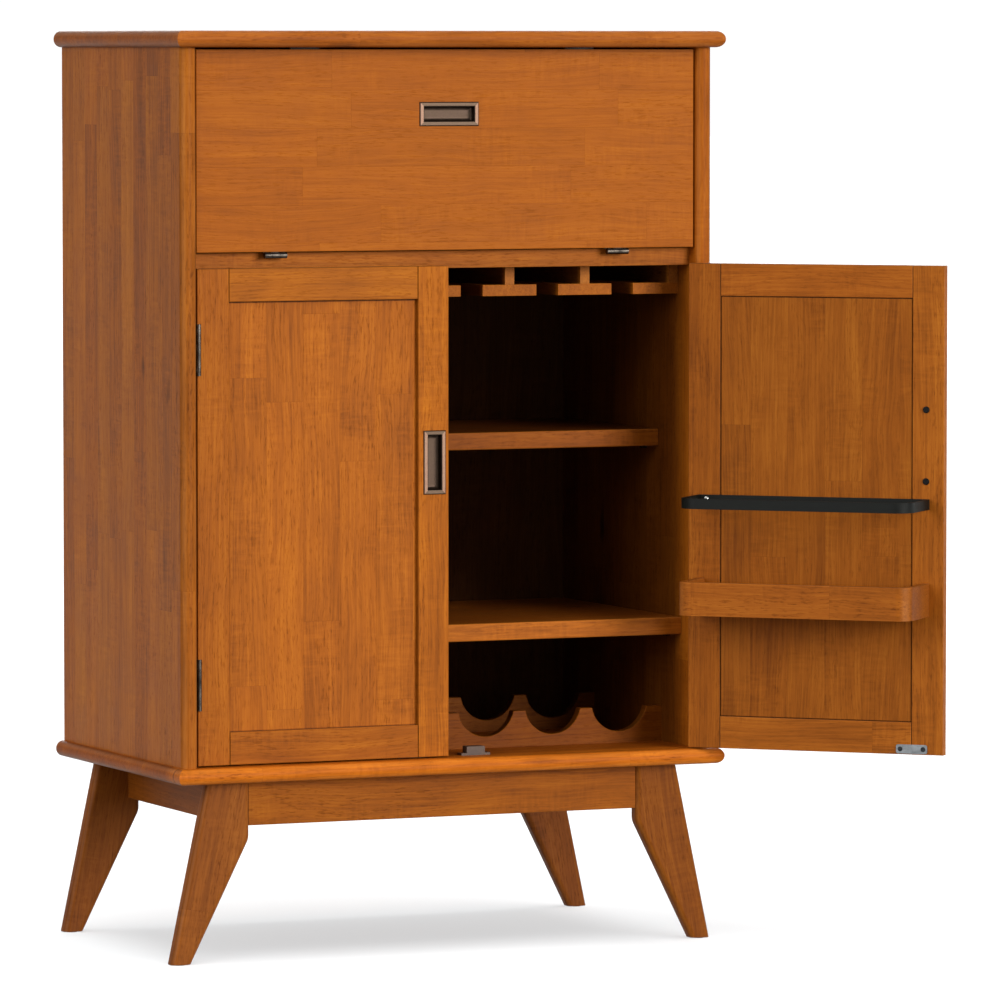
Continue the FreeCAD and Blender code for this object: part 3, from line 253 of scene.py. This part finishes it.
def wood(node, way, width=0.045, length=0.45, seed=0.0, contrast=1.0, knots=1.0, figure=1.0, pores=1.0, tone_and_shade=(1.0, 1.0, 1.0), warmth=0.0,
         edge=1.0, curl=1.0, turned=False, lean=0.0, shift=0.0, polish=0.0, joint_lines_and_shade=(), deep=None):
    """seams: (wood axis 0-2, place, half width, strength) of dark lines, partly dark joints and partly painted shade in
    gaps and along recessed panels; deep: (y0, y1, factor, axis of the inner face or None) of painted shade, darker
    towards the inside of the cabinet.
    """
    m = bpy.data.materials.new("wood_" + node)
    m.use_nodes = True
    t = Tree(m.node_tree)
    m.node_tree.nodes.clear()
    out = t.put("ShaderNodeOutputMaterial")
    b = t.put("ShaderNodeBsdfPrincipled")
    co = t.put("ShaderNodeTexCoord")
    rot = frame_matrix(way, turned, lean)
    maps = []
    for socket in ("Object", "Normal"):
        mp = t.put("ShaderNodeMapping", vector_type="POINT" if socket == "Object" else "VECTOR")
        mp.inputs["Rotation"].default_value = rot.to_euler("XYZ")
        if socket == "Object":
            back = -(rot @ HINGE) if turned else Vector((0, 0, 0))
            mp.inputs["Location"].default_value = back + Vector((shift, 0, 0))
        t.feed(mp.inputs["Vector"], co.outputs[socket])
        maps.append(mp.outputs[0])
    g = t.put("ShaderNodeGroup")
    g.node_tree = WOOD
    t.feed(g.inputs["Vector"], maps[0])
    t.feed(g.inputs["Normal"], maps[1])
    for name, val in (("Stave Width", width), ("Stave Length", length), ("Seed", seed), ("Stave Contrast", contrast), ("Knots", knots),
                      ("Figure", figure), ("Pores", pores), ("Warmth", warmth), ("Edge", edge), ("Curl", curl)):
        g.inputs[name].default_value = val
    g.inputs["Tint"].default_value = tone_and_shade
    bump = t.put("ShaderNodeBump")
    bump.inputs["Strength"].default_value = 0.35
    bump.inputs["Distance"].default_value = 0.0004
    t.feed(bump.inputs["Height"], g.outputs["Height"])
    colour = g.outputs["Color"]
    # dark lines: dark joints in part, and painted shade in gaps and along the edges of recessed panels in part
    if joint_lines_and_shade:
        along = t.split(maps[0])
        patchiness = t.ramp(t.noise(maps[0], 90.0, 2.0), 0.3, 0.7, 0.75, 1.0)
        mask = None
        for axis, place, half, strength in joint_lines_and_shade:
            m1 = t.math("MULTIPLY", t.ramp(t.math("ABSOLUTE", t.math("SUBTRACT", along[axis], place)), half * 0.6, half * 1.5, 1.0, 0.0), strength)
            mask = m1 if mask is None else t.math("MAXIMUM", mask, m1)
        colour = t.mix(t.math("MULTIPLY", mask, patchiness), colour, linear("2A1206"))
    # painted shade: the colour is darkened towards the inside of the cabinet, set by position, and only on the inner
    # face where an axis is given
    if deep:
        y0, y1, factor, inner = deep
        f = t.ramp(t.split(co.outputs["Object"])[1], y0, y1)
        if inner is not None:
            f = t.math("MULTIPLY", f, t.ramp(t.math("MULTIPLY", t.split(co.outputs["Normal"])[inner], -1.0), 0.3, 0.8))
        f = t.math("MULTIPLY", f, t.ramp(t.noise(maps[0], 7.0, 2.0), 0.2, 0.5, 0.9, 1.0))
        colour = t.mix(f, colour, t.vec("MULTIPLY", colour, factor))
    t.feed(b.inputs["Base Color"], colour)
    t.feed(b.inputs["Roughness"], t.math("ADD", g.outputs["Roughness"], polish))
    t.feed(b.inputs["Normal"], bump.outputs[0])
    b.inputs["IOR"].default_value = 1.45
    b.inputs["Specular IOR Level"].default_value = 0.075
    t.feed(out.inputs["Surface"], b.outputs[0])
    return m


# ---------------------------------------------------------------- metals and plastics
def metal(name, dark, light, rough=(0.28, 0.42), metallic=1.0, scale=60.0, brushed=None, scratch=0.0, bump=0.05, spec=0.5, edge=None):
    """Mottled metal: colour and roughness vary, brushed lines on request; the scratch argument is not used."""
    m = bpy.data.materials.new(name)
    m.use_nodes = True
    m.node_tree.nodes.clear()
    t = Tree(m.node_tree)
    out = t.put("ShaderNodeOutputMaterial")
    b = t.put("ShaderNodeBsdfPrincipled")
    co = t.put("ShaderNodeTexCoord")
    v = co.outputs["Object"]
    n1 = t.noise(v, scale, 5.0, 0.6)
    n2 = t.noise(v, scale * 9.0, 3.0, 0.6)
    f = t.math("ADD", t.math("MULTIPLY", n1, 0.7), t.math("MULTIPLY", n2, 0.3))
    if brushed:
        x, y, z = t.split(v)
        line = t.noise(t.join(t.math("MULTIPLY", x, brushed[0]), t.math("MULTIPLY", y, brushed[1]), t.math("MULTIPLY", z, brushed[2])), 1.0, 3.0, 0.6)
        f = t.math("ADD", t.math("MULTIPLY", f, 0.6), t.math("MULTIPLY", line, 0.4))
    else:
        line = n2
    c = t.mix(t.ramp(f, 0.36, 0.64), dark, light)
    if edge:
        nx, ny, nz = t.split(t.vec("ABSOLUTE", co.outputs["Normal"]))
        flat = t.math("MAXIMUM", t.math("MAXIMUM", nx, ny), nz)
        c = t.mix(t.math("MULTIPLY", t.ramp(flat, 0.72, 0.97, 1.0, 0.0), edge[1]), c, edge[0])
    t.feed(b.inputs["Base Color"], c)
    t.feed(b.inputs["Roughness"], t.ramp(f, 0.3, 0.7, rough[0], rough[1]))
    bp = t.put("ShaderNodeBump")
    bp.inputs["Strength"].default_value = bump
    bp.inputs["Distance"].default_value = 0.0003
    t.feed(bp.inputs["Height"], line)
    t.feed(b.inputs["Normal"], bp.outputs[0])
    b.inputs["Metallic"].default_value = metallic
    b.inputs["Specular IOR Level"].default_value = spec
    t.feed(out.inputs["Surface"], b.outputs[0])
    return m


def plastic(name, dark, light, rough=0.5, grain=900.0, bump=0.12, spec=0.5, shade_above=None):
    """Moulded plastic or powder coat: a fine even grain, slightly uneven gloss; above a given height it is painted
    nearly black as painted shade.
    """
    m = bpy.data.materials.new(name)
    m.use_nodes = True
    m.node_tree.nodes.clear()
    t = Tree(m.node_tree)
    out = t.put("ShaderNodeOutputMaterial")
    b = t.put("ShaderNodeBsdfPrincipled")
    v = t.put("ShaderNodeTexCoord").outputs["Object"]
    big = t.noise(v, 45.0, 3.0, 0.55)
    fine = t.noise(v, grain, 2.0, 0.6)
    c = t.mix(t.ramp(t.math("ADD", t.math("MULTIPLY", big, 0.75), t.math("MULTIPLY", fine, 0.25)), 0.35, 0.65), dark, light)
    # painted shade: nearly black above the given height, where the catches sit in the dark gap under the top board
    if shade_above:
        c = t.mix(t.ramp(t.split(v)[2], shade_above, shade_above + 0.01), c, linear("120C08"))
    t.feed(b.inputs["Base Color"], c)
    t.feed(b.inputs["Roughness"], t.ramp(big, 0.3, 0.7, rough - 0.06, rough + 0.06))
    bp = t.put("ShaderNodeBump")
    bp.inputs["Strength"].default_value = bump
    bp.inputs["Distance"].default_value = 0.0002
    t.feed(bp.inputs["Height"], fine)
    t.feed(b.inputs["Normal"], bp.outputs[0])
    b.inputs["Specular IOR Level"].default_value = spec
    t.feed(out.inputs["Surface"], b.outputs[0])
    return m


def dress(node, material):
    o = NODES[node]
    if not o.material_slots:
        o.data.materials.append(material)
    for s in o.material_slots:
        s.material = material


# ---------------------------------------------------------------- the wooden pieces
# the deep entries are painted shade towards the inside; the lines on bottom_board, front_rail and drop_front_panel are
# painted shade in the gaps under the doors, above the doors and under the top board
plan = {
    "top_board": dict(way="flat_x", width=0.062, length=0.60, seed=1.0, contrast=0.12),
    "bottom_board": dict(way="flat_x", width=0.062, length=0.55, seed=2.0, contrast=0.12, deep=(-0.225, -0.19, (0.62, 0.58, 0.55), None), joint_lines_and_shade=((0, -0.2285, 0.0022, 0.55),)),
    "left_side_panel": dict(way="side", width=0.047, length=0.62, seed=3.0, contrast=0.40, knots=1.2, figure=1.1),
    "right_side_panel": dict(way="side", width=0.047, length=0.62, seed=4.0, contrast=0.30, knots=1.0, deep=(-0.222, -0.15, (0.36, 0.36, 0.45), 0)),
    "back_panel": dict(way="front_v", width=0.30, length=3.0, seed=5.0, contrast=0.2, edge=0.3, knots=0.0, deep=(0.0, 0.1, (0.28, 0.335, 1.0), 1)),
    "divider_shelf": dict(way="flat_x", width=0.055, length=0.5, seed=6.0, contrast=0.2, deep=(-0.22, -0.15, (0.35, 0.35, 0.5), None)),
    "front_rail": dict(way="front_h", width=0.5, length=5.0, seed=7.0, contrast=0.1, joint_lines_and_shade=((0, 0.948, 0.006, 0.18),)),
    "upper_shelf": dict(way="flat_x", width=0.055, length=0.5, seed=8.0, contrast=0.2, deep=(-0.108, -0.095, (0.40, 0.38, 0.45), None)),
    "lower_shelf": dict(way="flat_x", width=0.055, length=0.5, seed=9.0, contrast=0.2, deep=(-0.184, -0.165, (0.60, 0.56, 0.6), None)),
    "stemware_flanges": dict(way="depth", width=0.1145, length=2.0, seed=10.0, shift=0.05725, contrast=0.2, deep=(-0.172, -0.160, (0.35, 0.33, 0.4), None)),
    "stemware_webs": dict(way="depth", width=0.1145, length=2.0, seed=11.0, shift=0.05725, contrast=0.2, deep=(-0.172, -0.160, (0.35, 0.33, 0.4), None)),
    "wine_rack_front": dict(way="front_h", width=0.2, length=5.0, seed=12.0, contrast=0.1),
    "wine_rack_rear": dict(way="front_h", width=0.2, length=5.0, seed=13.0, contrast=0.1),
    "front_apron": dict(way="front_h", width=0.4, length=5.0, seed=14.0, contrast=0.1, knots=0.6),
    "rear_apron": dict(way="front_h", width=0.4, length=5.0, seed=15.0, contrast=0.1, knots=0.6),
    "side_aprons": dict(way="side_h", width=0.4, length=5.0, seed=16.0, contrast=0.1, knots=0.6),
    "front_left_leg": dict(way="front_v", width=0.9, length=5.0, seed=17.0, contrast=0.05, lean=math.radians(-9.0)),
    "front_right_leg": dict(way="front_v", width=0.9, length=5.0, seed=18.0, contrast=0.05, lean=math.radians(9.0)),
    "rear_left_leg": dict(way="front_v", width=0.9, length=5.0, seed=19.0, contrast=0.05, lean=math.radians(-9.0)),
    "rear_right_leg": dict(way="front_v", width=0.9, length=5.0, seed=20.0, contrast=0.05, lean=math.radians(9.0)),
    "corner_blocks": dict(way="front_v", width=0.3, length=5.0, seed=21.0, contrast=0.1),
    "drop_front_panel": dict(way="front_h", width=0.052, length=0.40, seed=22.0, contrast=0.12, knots=0.2, figure=0.6, pores=0.5, joint_lines_and_shade=((0, 1.2446, 0.009, 0.22),)),
}
Z0, Z1 = 0.2727, 0.948                     # doors: bottom and top
ZB, ZT = Z0 + 0.0446, Z1 - 0.045           # edges of their rails
XA, XC = 0.3247, 0.0460                    # inner edges of the stiles, from the middle
for side, s, turned in (("left", 30.0, False), ("right", 40.0, True)):
    xa, xc = (XA - HINGE.x, XC - HINGE.x) if turned else (-XA, -XC)
    # dark lines: at the ends of the rails they are dark joints; along the edges of each recessed panel and at the top
    # edge of each door they are painted shade
    thin, wide = 0.0006, 0.0011
    if turned:
        around = ((0, xa, wide, 0.85), (0, xc, wide, 0.70), (2, ZT, 0.0014, 0.85), (2, ZB, 0.0012, 0.85))
    else:
        around = ((0, xa, thin, 0.70), (2, ZT, 0.0020, 0.85), (2, ZB, wide, 0.75))
    # a piece whose grain runs sideways has its height as the first wood axis
    ends = ((2, xa, thin, 0.70), (2, xc, thin, 0.70))
    head = (2, Z1, 0.0009, 0.40)
    plan[side + "_door_hinge_stile"] = dict(way="front_v", width=0.9, length=5.0, seed=s + 1, contrast=0.1, knots=0.2, turned=turned, joint_lines_and_shade=((0, xa, thin, 0.55), head))
    plan[side + "_door_free_stile"] = dict(way="front_v", width=0.9, length=5.0, seed=s + 2, contrast=0.1, knots=0.2, turned=turned, joint_lines_and_shade=((0, xc, thin, 0.55), head))
    plan[side + "_door_top_rail"] = dict(way="front_h", width=0.9, length=5.0, seed=s + 3, contrast=0.1, knots=0.2, turned=turned, joint_lines_and_shade=ends + ((0, Z1, 0.0009, 0.45),))
    plan[side + "_door_bottom_rail"] = dict(way="front_h", width=0.9, length=5.0, seed=s + 4, contrast=0.1, knots=0.2, turned=turned, joint_lines_and_shade=ends)
    plan[side + "_door_panel"] = dict(way="front_v", width=0.054, length=0.42, seed=s + 5, contrast=0.14, knots=0.2, pores=0.65 if turned else 1.0, turned=turned, joint_lines_and_shade=around)
plan["bottle_tray_rim"] = dict(way="front_h", width=0.3, length=0.20, seed=51.0, contrast=0.15, knots=0.0, turned=True)
plan["bottle_tray_floor"] = dict(way="flat_x", width=0.05, length=0.4, seed=52.0, contrast=0.3, turned=True)
# per-piece colour factors, matched one piece at a time: besides the wood's own tone they carry painted light and shade,
# such as the darker legs, aprons, open door and wine rack
TONE_AND_SHADE = {
    "top_board": (1.01, 1.02, 1.5), "bottom_board": (1.56, 1.51, 1.38), "left_side_panel": (0.94, 1.0, 1.3), "right_side_panel": (1.0, 1.0, 1.0),
    "drop_front_panel": (1.07, 1.09, 1.04), "front_rail": (1.04, 1.11, 1.4),
    "left_door_hinge_stile": (1.01, 1.04, 1.04), "left_door_free_stile": (1.18, 1.24, 0.95), "left_door_top_rail": (1.11, 1.20, 1.1),
    "left_door_bottom_rail": (0.97, 1.00, 1.0), "left_door_panel": (1.15, 1.20, 1.3),
    "right_door_hinge_stile": (0.85, 0.90, 1.2), "right_door_free_stile": (1.035, 1.14, 1.6), "right_door_top_rail": (1.00, 1.05, 1.5),
    "right_door_bottom_rail": (1.02, 1.12, 1.6), "right_door_panel": (0.83, 0.90, 1.2), "bottle_tray_rim": (0.93, 0.99, 1.5),
    "front_apron": (0.89, 0.92, 0.75), "side_aprons": (0.66, 0.68, 1.0), "rear_apron": (0.85, 0.88, 0.9),
    "front_left_leg": (0.73, 0.80, 1.5), "rear_left_leg": (0.60, 0.64, 1.2), "front_right_leg": (0.63, 0.65, 0.75), "rear_right_leg": (0.56, 0.58, 1.0),
    "back_panel": (0.80, 0.85, 1.0), "wine_rack_front": (0.53, 0.50, 0.4), "wine_rack_rear": (0.5, 0.5, 0.5),
    "upper_shelf": (0.82, 0.84, 1.1), "lower_shelf": (1.31, 1.43, 1.8), "stemware_flanges": (1.25, 1.35, 1.5), "stemware_webs": (1.37, 1.69, 3.0),
}
for node, how in plan.items():
    dress(node, wood(node, tone_and_shade=TONE_AND_SHADE.get(node, (1.0, 1.0, 1.0)), **how))

# ---------------------------------------------------------------- fittings


def pull(name, centre, half, turned=False):
    """Antique bronze frame with mitred corners: paler uprights or ends as a painted reflection, dark outer line, dark
    cup walls.
    """
    m = bpy.data.materials.new(name)
    m.use_nodes = True
    m.node_tree.nodes.clear()
    t = Tree(m.node_tree)
    out = t.put("ShaderNodeOutputMaterial")
    b = t.put("ShaderNodeBsdfPrincipled")
    co = t.put("ShaderNodeTexCoord")
    mp = t.put("ShaderNodeMapping", vector_type="POINT")
    rot = Matrix.Rotation(-DOOR_TURN, 3, "Z") if turned else Matrix.Identity(3)
    mp.inputs["Rotation"].default_value = rot.to_euler("XYZ")
    at = Vector((centre[0], FRONT, centre[1]))
    mp.inputs["Location"].default_value = (HINGE - rot @ HINGE if turned else Vector((0, 0, 0))) - at
    t.feed(mp.inputs["Vector"], co.outputs["Object"])
    x, y, z = t.split(mp.outputs[0])
    dx = t.math("SUBTRACT", half[0], t.math("ABSOLUTE", x))
    dz = t.math("SUBTRACT", half[1], t.math("ABSOLUTE", z))
    edge = t.math("MINIMUM", dx, dz)
    side = t.ramp(t.math("SUBTRACT", dx, dz), -0.0003, 0.0003, 1.0, 0.0)
    mottle = t.noise(mp.outputs[0], 160.0, 4.0, 0.6)
    fine = t.noise(t.join(t.math("MULTIPLY", x, 900.0), t.math("MULTIPLY", y, 900.0), t.math("MULTIPLY", z, 900.0)), 1.0, 2.0, 0.6)
    f = t.math("ADD", t.math("MULTIPLY", mottle, 0.7), t.math("MULTIPLY", fine, 0.3))
    # painted reflection: the uprights, or the ends, of the frame are painted paler than the rest
    frame_c = t.mix(side, t.mix(t.ramp(f, 0.3, 0.7), linear("3F3126"), linear("504134")), t.mix(t.ramp(f, 0.3, 0.7), linear("5E4639"), linear("735B4B")))
    cup_c = t.mix(t.ramp(f, 0.3, 0.7), linear("352820"), linear("423429"))
    c = t.mix(t.ramp(edge, 0.0054, 0.0062), frame_c, cup_c)
    # a dark line at the outer edge and where the frame turns into the cup
    line = t.math("MAXIMUM", t.ramp(edge, 0.0004, 0.0013, 1.0, 0.0), t.math("MULTIPLY", t.ramp(t.math("ABSOLUTE", t.math("SUBTRACT", edge, 0.0062)), 0.0003, 0.0009, 1.0, 0.0), 0.6))
    c = t.mix(t.math("MULTIPLY", line, 0.9), c, linear("20140E"))
    t.feed(b.inputs["Base Color"], c)
    t.feed(b.inputs["Roughness"], t.ramp(f, 0.3, 0.7, 0.36, 0.50))
    bp = t.put("ShaderNodeBump")
    bp.inputs["Strength"].default_value = 0.06
    bp.inputs["Distance"].default_value = 0.0002
    t.feed(bp.inputs["Height"], fine)
    t.feed(b.inputs["Normal"], bp.outputs[0])
    b.inputs["Metallic"].default_value = 0.85
    b.inputs["Specular IOR Level"].default_value = 0.4
    t.feed(out.inputs["Surface"], b.outputs[0])
    return m


hinge = metal("dark_hinge_steel", linear("2A2622"), linear("5E564E"), rough=(0.18, 0.30), scale=90.0, brushed=(300.0, 300.0, 40.0), bump=0.05)
zinc = metal("zinc_plate", linear("5F6264"), linear("7A7E80"), rough=(0.38, 0.52), scale=120.0, brushed=(60.0, 60.0, 900.0), bump=0.06)
screw = metal("dark_screw", linear("17181A"), linear("2C2E30"), rough=(0.30, 0.42), metallic=0.9, scale=200.0)
bright = metal("bright_screw", linear("B8B8B4"), linear("DCDCD8"), rough=(0.18, 0.28), scale=200.0)
dress("left_door_pull", pull("bronze_left", (-0.0219, 0.6783), (0.0165, 0.044)))
dress("right_door_pull", pull("bronze_right", (0.0219, 0.6783), (0.0165, 0.044), turned=True))
dress("drop_front_pull", pull("bronze_flap", (0.0, 1.1561), (0.044, 0.0165)))
for n in ("left_door_hinge_fixed_leaves", "left_door_hinge_leaves", "right_door_hinge_fixed_leaves", "right_door_hinge_leaves",
          "stay_studs", "stay_brackets", "stay_arm_left", "stay_arm_right", "shelf_pins"):
    dress(n, hinge)
black_steel = metal("blackened_steel", linear("1A1613"), linear("4A433C"), rough=(0.16, 0.28), metallic=0.9, scale=120.0, brushed=(40.0, 300.0, 300.0), bump=0.05)
for n in ("drop_front_hinge_fixed_leaves", "drop_front_hinge_leaves"):
    dress(n, black_steel)
# painted shade: the drop front's strikes are made nearly black, as they sit in the dark gap under the top board
dress("drop_front_strikes", metal("painted_shade_steel", linear("0C0907"), linear("1A1511"), rough=(0.50, 0.64), metallic=0.5, scale=120.0, spec=0.2))
for n in ("left_door_strike", "right_door_strike", "back_panel_screws"):
    dress(n, zinc)
for n in ("left_door_strike_screws", "right_door_strike_screws"):
    dress(n, screw)
dress("bottle_guard_screws", bright)
dress("bottle_guard", plastic("black_powder_coat", linear("090A08"), linear("10120F"), rough=0.50, grain=1400.0, bump=0.10, spec=0.12))
dress("magnetic_catches", plastic("catch_plastic", linear("4A382D"), linear("5C483C"), rough=0.45, spec=0.25, shade_above=1.0))
dress("right_door_buttons", plastic("button_rubber", linear("050404"), linear("0C0A09"), rough=0.30, spec=0.10))
dress("foot_glides", plastic("glide_plastic", linear("1C140F"), linear("2C221B"), rough=0.55))

# ---------------------------------------------------------------- floor, light, camera
floor_mesh = bpy.data.meshes.new("floor")
floor_mesh.from_pydata([(-40, -40, 0), (40, -40, 0), (40, 120, 0), (-40, 120, 0)], [], [(0, 1, 2, 3)])
floor = bpy.data.objects.new("floor", floor_mesh)
scene.collection.objects.link(floor)
fm = bpy.data.materials.new("studio_floor")
fm.use_nodes = True
fb = fm.node_tree.nodes["Principled BSDF"]
fb.inputs["Base Color"].default_value = (0.845, 0.86, 0.868, 1)
fb.inputs["Roughness"].default_value = 0.9
fb.inputs["Specular IOR Level"].default_value = 0.1
floor_mesh.materials.append(fm)
floor.visible_diffuse = False

world = bpy.data.worlds.new("studio")
scene.world = world
world.use_nodes = True
wt = Tree(world.node_tree)
world.node_tree.nodes.clear()
wo = wt.put("ShaderNodeOutputWorld")
seen = wt.put("ShaderNodeBackground")
seen.inputs["Color"].default_value = (1, 1, 1, 1)
seen.inputs["Strength"].default_value = 1.05
way = wt.put("ShaderNodeTexCoord").outputs["Generated"]
up = wt.split(way)[2]
path = wt.put("ShaderNodeLightPath")


def sky(low, high):
    n = wt.put("ShaderNodeBackground")
    n.inputs["Color"].default_value = (1, 1, 1, 1)
    wt.feed(n.inputs["Strength"], wt.ramp(up, -0.35, 0.45, low, high))
    return n.outputs[0]


glossy = wt.put("ShaderNodeMixShader")
wt.feed(glossy.inputs[0], path.outputs["Is Glossy Ray"])
wt.feed(glossy.inputs[1], sky(0.16, 0.36))
wt.feed(glossy.inputs[2], sky(0.30, 0.75))
pick = wt.put("ShaderNodeMixShader")
wt.feed(pick.inputs[0], path.outputs["Is Camera Ray"])
wt.feed(pick.inputs[1], glossy.outputs[0])
wt.feed(pick.inputs[2], seen.outputs[0])
wt.feed(wo.inputs["Surface"], pick.outputs[0])


def sun(name, azimuth, elevation, strength, angle, colour=(1, 1, 1)):
    """A far, wide light. Azimuth 0 stands in front of the cabinet, positive to its right."""
    data = bpy.data.lights.new(name, "SUN")
    data.energy = strength
    data.angle = math.radians(angle)
    data.color = colour
    o = bpy.data.objects.new(name, data)
    a, e = math.radians(azimuth), math.radians(elevation)
    d = Vector((math.sin(a) * math.cos(e), -math.cos(a) * math.cos(e), math.sin(e)))
    o.rotation_mode = "QUATERNION"
    o.rotation_quaternion = d.to_track_quat("Z", "Y")
    o.location = d * 4.0
    scene.collection.objects.link(o)
    return o


def only(light, pieces, include):
    """A lamp lights the named pieces alone, or everything but them."""
    c = bpy.data.collections.new("lit_by_" + light.name)
    for o in pieces:
        c.objects.link(o)
    light.light_linking.receiver_collection = c
    for entry in c.collection_objects:
        entry.light_linking.link_state = "INCLUDE" if include else "EXCLUDE"


# a low, wide light from the front; the recess behind the open door gets a steeper one; the floor has its own
deep = [NODES["back_panel"]]
only(sun("key", 21.0, 9.0, 3.4, 32.0, (1.0, 0.985, 0.965)), [floor] + deep, False)
only(sun("key_deep", 28.0, 42.0, 4.0, 35.0, (1.0, 0.985, 0.965)), deep, True)
only(sun("left_fill", -75.0, 20.0, 1.7, 46.0), [floor], False)
only(sun("rear_fill", 152.0, 26.0, 1.9, 36.0), [floor], False)
only(sun("floor_soft", 0.0, 77.0, 1.8, 50.0), [floor], True)
even = sun("floor_even", 0.0, 88.0, 2.0, 5.0)
only(even, [floor], True)
even.data.use_shadow = False

cam_data = bpy.data.cameras.new("camera")
cam = bpy.data.objects.new("camera", cam_data)
scene.collection.objects.link(cam)
cam.location = (-4.0376, -9.5692, 1.2487)
cam.rotation_euler = (math.radians(90.0 - 3.501), 0.0, math.radians(-23.767))
cam_data.lens = 267.0
cam_data.sensor_width = 36.0
cam_data.sensor_fit = "HORIZONTAL"
cam_data.clip_start, cam_data.clip_end = 0.1, 500.0
cam_data.dof.use_dof = False
scene.camera = cam
scene.view_settings.view_transform = "Standard"
scene.view_settings.look = "None"
scene.view_settings.exposure = 0.0
scene.view_settings.gamma = 1.0
